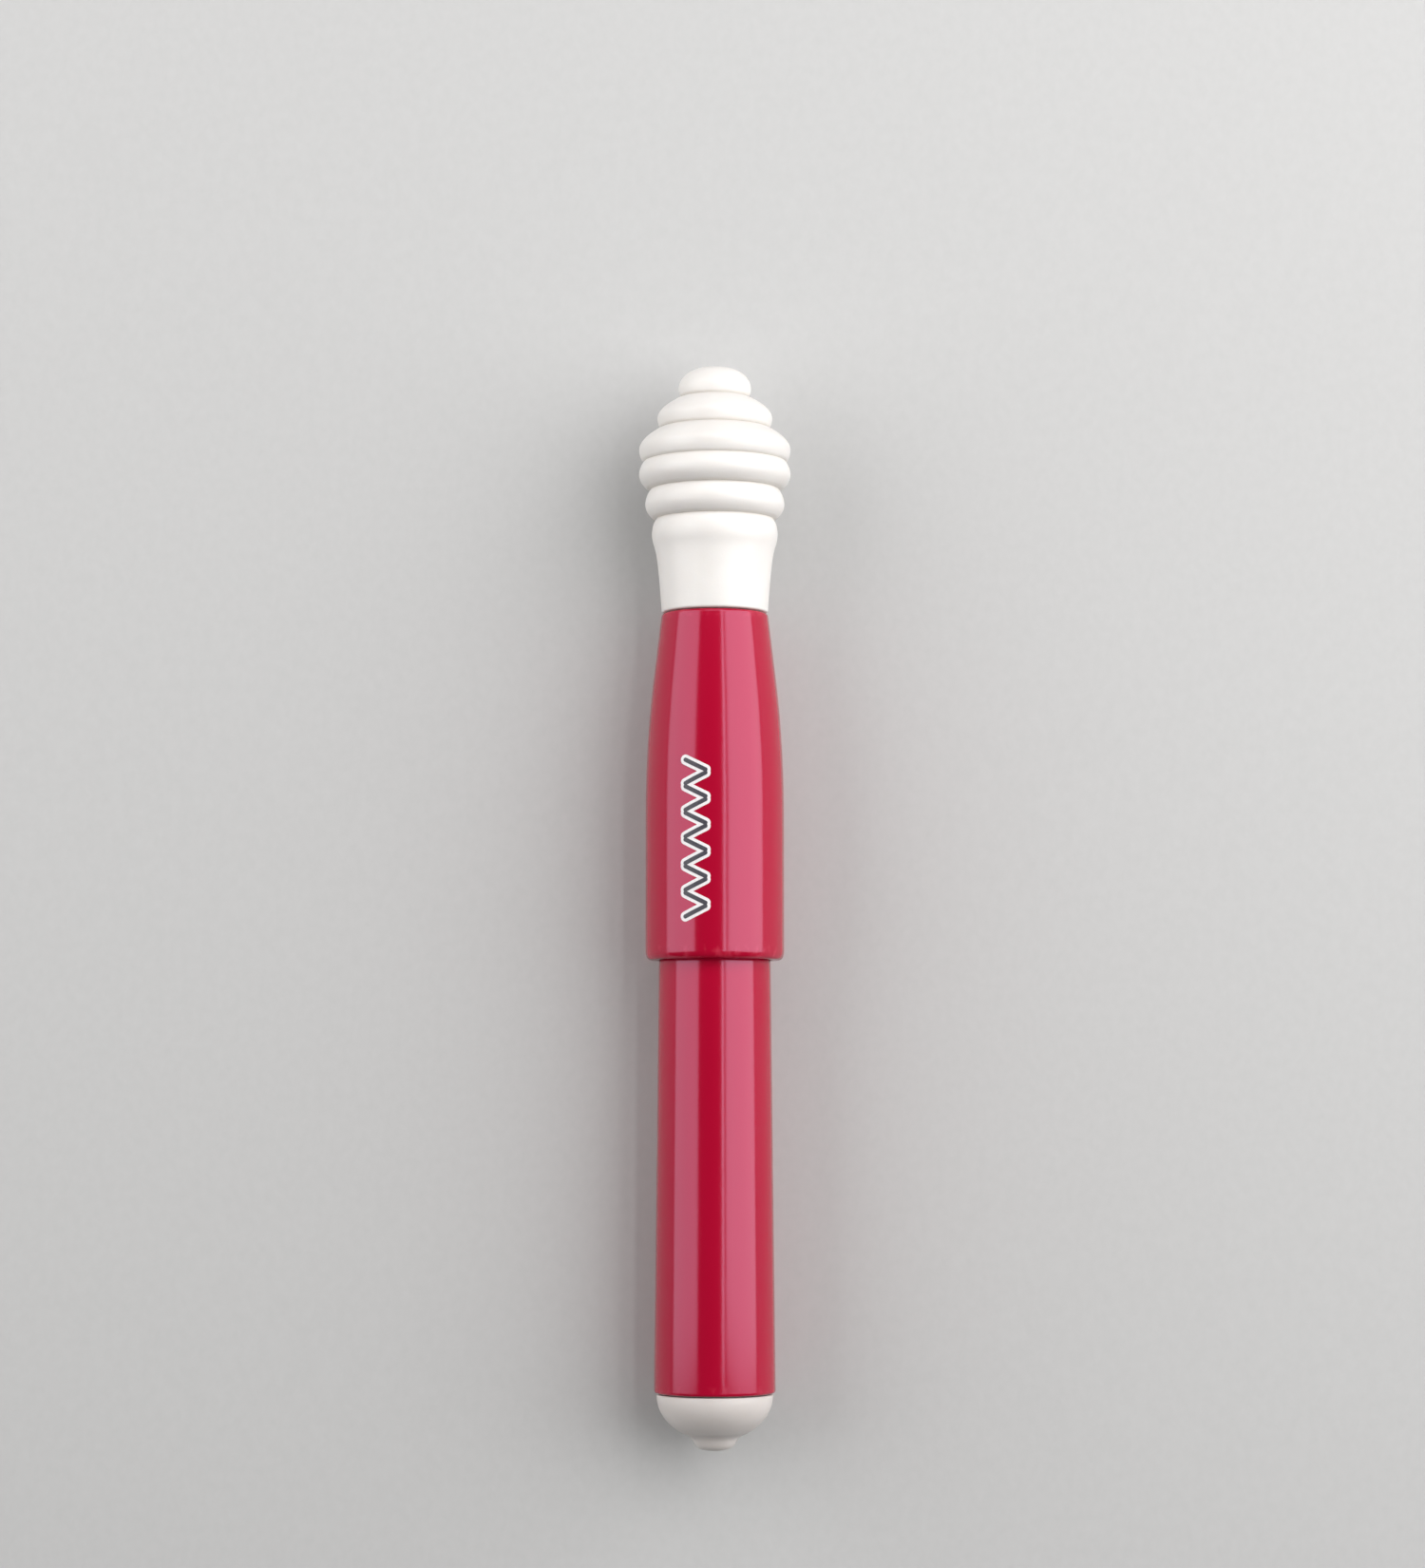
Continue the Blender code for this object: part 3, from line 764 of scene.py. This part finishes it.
class Finish(Nodes):
    """A Principled material in the making. Constants go on the shader, and nodes on what varies."""

    def __init__(self, name, **constants):
        self.material = bpy.data.materials.new(name)
        self.material.use_nodes = True
        super().__init__(self.material.node_tree)
        self.shader = self.tree.nodes["Principled BSDF"]
        for label, value in constants.items():
            self.feed(self.shader.inputs[label.replace("_", " ")], value)
        self.place = self.add("ShaderNodeTexCoord").outputs["Object"]

    def stretched(self, scale):
        """The place on the piece, scaled along each axis."""
        sockets = {0: self.place, 1: scale}
        return self.add("ShaderNodeVectorMath", {"operation": "MULTIPLY"}, sockets).outputs[0]

    def noise(self, scale, detail=2.0, roughness=0.5):
        """Soft noise from 0 to 1. scale is features a metre, along each axis."""
        sockets = {"Vector": self.stretched(scale), "Scale": 1.0}
        sockets.update({"Detail": detail, "Roughness": roughness})
        return Value(self, self.add("ShaderNodeTexNoise", None, sockets).outputs[0])

    def cells(self, scale):
        """The distance to the nearest of scattered points. scale is points a metre."""
        sockets = {"Vector": self.stretched(scale), "Scale": 1.0}
        made = self.add("ShaderNodeTexVoronoi", {"feature": "F1"}, sockets)
        return Value(self, made.outputs["Distance"])

    def along(self):
        """The station: how far along the tool."""
        parts = self.add("ShaderNodeSeparateXYZ", None, {0: self.place})
        return Value(self, parts.outputs["Y"])

    def near(self, stations, reach):
        """1 at each of the stations, falling to 0 a reach away."""
        here = self.along()
        bumps = [(1.0 - ((here - station) / reach) ** 2.0).clamped() for station in stations]
        return sum(bumps[1:], bumps[0]).clamped()

    def blend(self, share, first, second):
        """The colour between two, by share. Sockets 6 and 7 are the Mix node's two colours."""
        sockets = {"Factor": share, 6: first, 7: second}
        return self.add("ShaderNodeMix", {"data_type": "RGBA"}, sockets).outputs[2]

    def done(self, colour, roughness, height, depth, strength):
        """Feeds what varies to the shader and returns the material."""
        self.feed(self.shader.inputs["Base Color"], colour)
        self.feed(self.shader.inputs["Roughness"], roughness)
        sockets = {"Height": height, "Distance": depth, "Strength": strength}
        bump = self.add("ShaderNodeBump", None, sockets)
        self.feed(self.shader.inputs["Normal"], bump.outputs[0])
        return self.material


def handling_marks(finish):
    """Hairline marks that run mostly along the tool, from 0 to 1, in loose patches."""
    hairs = finish.noise((5200.0, 156.0, 5200.0), 3.0, 0.6).between(0.62, 0.74)
    patches = finish.noise((90.0, 45.0, 90.0)).between(0.45, 0.7)
    return hairs * patches


def crimson_plastic(name, edges):
    """Glossy moulded plastic. edges are stations where handling has dulled and paled it."""
    deep, bright = rgb(0.325, 0.0012, 0.019), rgb(0.385, 0.0022, 0.025)
    worn = rgb(0.62, 0.06, 0.1)
    finish = Finish(name, IOR=1.56, Specular_Tint=rgb(1.0, 0.65, 0.95))
    flow = finish.noise((70.0, 18.0, 70.0), 3.0)
    marks = handling_marks(finish)
    wear = finish.near(edges, 1.1 * MM)
    rubbed = wear * finish.noise((900.0, 500.0, 900.0), 3.0).between(0.5, 0.72)
    colour = finish.blend(flow, deep, bright)
    colour = finish.blend(rubbed * 0.35, colour, worn)
    roughness = 0.13 + flow * 0.05 + marks * 0.12 + rubbed * 0.14
    skin = finish.noise((420.0, 300.0, 420.0)) + marks * 0.12
    return finish.done(colour, roughness, skin, 0.012 * MM, 0.5)


def white_rubber(name, pale, white, grooves=()):
    """Warm white moulded rubber, satin, with a fine grain, and painted shade darkening its grooves.
    """
    groove_shade_colour = rgb(0.5, 0.45, 0.39)
    finish = Finish(
        name,
        Subsurface_Weight=0.12,
        Subsurface_Scale=1.0 * MM,
        Subsurface_Radius=(1.0, 0.75, 0.55),
        IOR=1.45,
    )
    mottle = finish.noise((160.0, 160.0, 160.0), 4.0)
    grain = finish.noise((3800.0, 3800.0, 3800.0), 3.0, 0.6)
    pores = 1.0 - finish.cells((2600.0, 2600.0, 2600.0)).between(0.0, 0.42)
    colour = finish.blend(mottle, pale, white)
    # Painted shade: the colour is darkened at each groove of the head.
    if grooves:
        groove_shade_mask = finish.near(grooves, 0.35 * MM) * (0.5 + mottle * 0.6)
        colour = finish.blend(groove_shade_mask * 0.4, colour, groove_shade_colour)
    roughness = 0.27 + mottle * 0.09 + grain * 0.06
    height = grain * 0.7 - pores * 0.3
    return finish.done(colour, roughness, height, 0.018 * MM, 0.6)


def natural_plastic():
    """Undyed moulded plastic, milky, with faint flow lines along the tool."""
    finish = Finish("natural_plastic", IOR=1.49)
    flow = finish.noise((220.0, 25.0, 220.0), 3.0)
    grain = finish.noise((2600.0, 2600.0, 2600.0))
    colour = finish.blend(flow, rgb(0.74, 0.73, 0.69), rgb(0.82, 0.81, 0.77))
    return finish.done(colour, 0.34 + flow * 0.12, grain, 0.01 * MM, 0.4)


def blade_steel():
    """Bright steel, drawn along its length, with painted shade darkening it from the shaft to past
    the crotch.
    """
    dull, bright, blade_shade_colour = rgb(0.34, 0.345, 0.36), rgb(0.52, 0.525, 0.54), rgb(0.2, 0.19, 0.2)
    finish = Finish("blade_steel", Metallic=1.0)
    drawn = finish.noise((9000.0, 220.0, 9000.0), 3.0, 0.6)
    cloud = finish.noise((260.0, 120.0, 260.0), 3.0)
    reach = finish.along() - NOSE_FACE
    # Painted shade: darkest from 21 to 26 mm past the nose, fading out towards the nose and the
    # tip.
    blade_shade_mask = reach.between(8.0 * MM, 21.0 * MM) * (1.0 - reach.between(26.0 * MM, 33.0 * MM))
    colour = finish.blend(drawn, dull, bright)
    colour = finish.blend(blade_shade_mask * cloud * 0.6, colour, blade_shade_colour)
    roughness = 0.2 + drawn * 0.16 + cloud * 0.06
    return finish.done(colour, roughness, drawn, 0.006 * MM, 0.5)


def ball_plastic():
    """Dipped glossy red, its colour a little uneven."""
    finish = Finish("ball_plastic", IOR=1.5, Coat_Weight=0.3)
    pool = finish.noise((700.0, 500.0, 700.0))
    colour = finish.blend(pool, rgb(0.5, 0.004, 0.012), rgb(0.62, 0.012, 0.02))
    return finish.done(colour, 0.1 + pool * 0.08, pool, 0.01 * MM, 0.4)


def ink(name, light, dark, roughness):
    """Pad-printed ink, a little broken where it has rubbed."""
    finish = Finish(name, IOR=1.45)
    speck = finish.noise((4200.0, 4200.0, 4200.0), 3.0, 0.65)
    colour = finish.blend(speck.between(0.35, 0.7), light, dark)
    return finish.done(colour, roughness + speck * 0.1, speck, 0.004 * MM, 0.4)


def floor_finish():
    """Pale matt card with a faint fibre."""
    finish = Finish("floor_card", IOR=1.3)
    fibre = finish.noise((900.0, 700.0, 900.0), 4.0)
    colour = finish.blend(fibre, rgb(0.45, 0.447, 0.443), rgb(0.49, 0.487, 0.483))
    return finish.done(colour, 0.75 + fibre * 0.1, fibre, 0.02 * MM, 0.3)


# Assembly


def stand_in(piece, body, slot, *nodes):
    """The piece replaces CAD nodes and rides on a body. slot is not used."""
    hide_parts(*nodes)
    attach(piece, body)


def build_cap(natural):
    """The head, the sleeve, the core and the print."""
    grooves = [HEAD_END - groove for groove in GROOVES]
    rubber = white_rubber("head_rubber", rgb(0.67, 0.64, 0.615), rgb(0.75, 0.725, 0.7), grooves)
    plastic = crimson_plastic("cap_plastic", (CAP_RIM + 0.8 * MM, SLEEVE_TOP))
    head = turned("beehive_head", head_outline(), rubber)
    stand_in(head, "cap", "head_rubber", "ribbed_head")
    sleeve = turned("sleeve_shell", sleeve_outline(), plastic)
    stand_in(sleeve, "cap", "crimson_plastic", "cap_sleeve")
    core = turned("stiff_core", core_outline(), natural)
    stand_in(core, "cap", "inner_plastic", "cap_core")
    dark = ink("dark_ink", rgb(0.035, 0.033, 0.045), rgb(0.07, 0.066, 0.08), 0.4)
    white = ink("white_ink", rgb(0.8, 0.78, 0.78), rgb(0.7, 0.66, 0.68), 0.42)
    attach(print_layer("print_edge", white, INK_EDGE * 2, -INK_SINK), "cap")
    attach(print_layer("print_stitches", dark, 0.0, INK_FILM), "cap")


def build_handle(natural):
    """The handle, the nub, the blade and the ball. The plug keeps its CAD shape."""
    plastic = crimson_plastic("handle_plastic", (BARREL_END + 0.2 * MM, NOSE_FACE - 0.4 * MM))
    # The nub takes the head's rubber in darker colours: painted shade.
    rubber = white_rubber("nub_rubber", rgb(0.59, 0.545, 0.52), rgb(0.67, 0.625, 0.6))
    handle = turned("handle_shell", handle_outline(), plastic)
    stand_in(handle, "handle", "crimson_plastic", "handle_barrel")
    nub = turned("rubber_nub", nub_outline(), rubber, segments=NUB_SEGMENTS)
    stand_in(nub, "handle", "head_rubber", "end_nub")
    stand_in(blade_piece(blade_steel()), "handle", "blade_steel", "blade")
    ball = turned("red_bead", ball_outline(), ball_plastic(), BALL_OFFSET, BALL_SEGMENTS)
    stand_in(ball, "handle", "ball_plastic", "safety_ball")
    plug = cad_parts["tail_plug"].data
    plug.materials.clear()
    plug.materials.append(natural)


# Surroundings


def camera():
    """Over the tool, a little towards the handle, looking down."""
    data = bpy.data.cameras.new("camera")
    data.sensor_fit = "VERTICAL"
    data.sensor_height = SENSOR
    eye = Vector((VIEW_CENTRE.x, CAMERA_STATION, AXIS_HEIGHT + CAMERA_DISTANCE))
    sight = VIEW_CENTRE - eye
    data.lens = data.sensor_height * sight.length / VIEW_HEIGHT
    obj = added("camera", data)
    obj.location = eye
    obj.rotation_euler = sight.to_track_quat("-Z", "Y").to_euler()
    bpy.context.scene.camera = obj


def area_light(name, size, glow, rotation):
    """A rectangle whose radiance is glow, whatever its size."""
    data = bpy.data.lights.new(name, "AREA")
    data.shape = "RECTANGLE"
    data.size, data.size_y = size
    data.energy = glow * math.pi * size[0] * size[1]
    obj = added(name, data)
    obj.rotation_euler = rotation
    return obj


def softbox(name, turn, station, distance, size, glow):
    """A light facing a station of the long axis, turned from straight up by (x, y) degrees."""
    obj = area_light(name, size, glow, (math.radians(turn[0]), math.radians(turn[1]), 0.0))
    away = obj.rotation_euler.to_matrix() @ Vector((0.0, 0.0, distance))
    obj.location = Vector((0.0, station, AXIS_HEIGHT)) + away


def outer_light(heading):
    """A light that faces outwards and down, so that it reaches the far floor and not the tool."""
    angle = math.radians(heading)
    size = (OUTER_SIZE, OUTER_SIZE)
    obj = area_light(f"outer_light_{heading}", size, OUTER_GLOW, (OUTER_TILT, 0.0, -angle))
    away = Vector((math.sin(angle), math.cos(angle), 1.0))
    obj.location = away * OUTER_DISTANCE


def lights():
    """A box each side with a dark gap between, a thin strip in the gap, and a box past the head."""
    for heading in (0, 90, 180, 270):
        outer_light(heading)
    for name, row in SOFTBOXES.items():
        softbox(name, *row)
    world = bpy.data.worlds.new("studio")
    world.use_nodes = True
    background = world.node_tree.nodes["Background"]
    background.inputs["Color"].default_value = rgb(1.0, 0.99, 0.98)
    background.inputs["Strength"].default_value = WORLD_STRENGTH
    bpy.context.scene.world = world
    bpy.context.scene.view_settings.view_transform = "Standard"


def floor():
    """A flat floor that the tool's widest tier and its cap's rim lie on."""
    tier_station = HEAD_END - GROOVES[2] - (GROOVES[3] - GROOVES[2]) * TIER_SHOULDERS[2]
    tier_low = AXIS_HEIGHT - max(TIER_CRESTS)
    rim_low = AXIS_HEIGHT - CAP_RADIUS
    rim_station = CAP_RIM + RIM_ROUND
    slope = (tier_low - rim_low) / (tier_station - rim_station)
    corners = []
    for x, y in ((-1, -1), (1, -1), (1, 1), (-1, 1)):
        station = y * FLOOR_REACH
        height = tier_low + (station - tier_station) * slope - FLOOR_GAP
        corners.append((x * FLOOR_REACH, station, height))
    mesh = bpy.data.meshes.new("floor")
    mesh.from_pydata(corners, [], [(0, 1, 2, 3)])
    mesh.materials.append(floor_finish())
    obj = added("floor", mesh)


def main():
    """Builds the scene."""
    camera()
    lights()
    floor()
    natural = natural_plastic()
    build_cap(natural)
    build_handle(natural)


main()
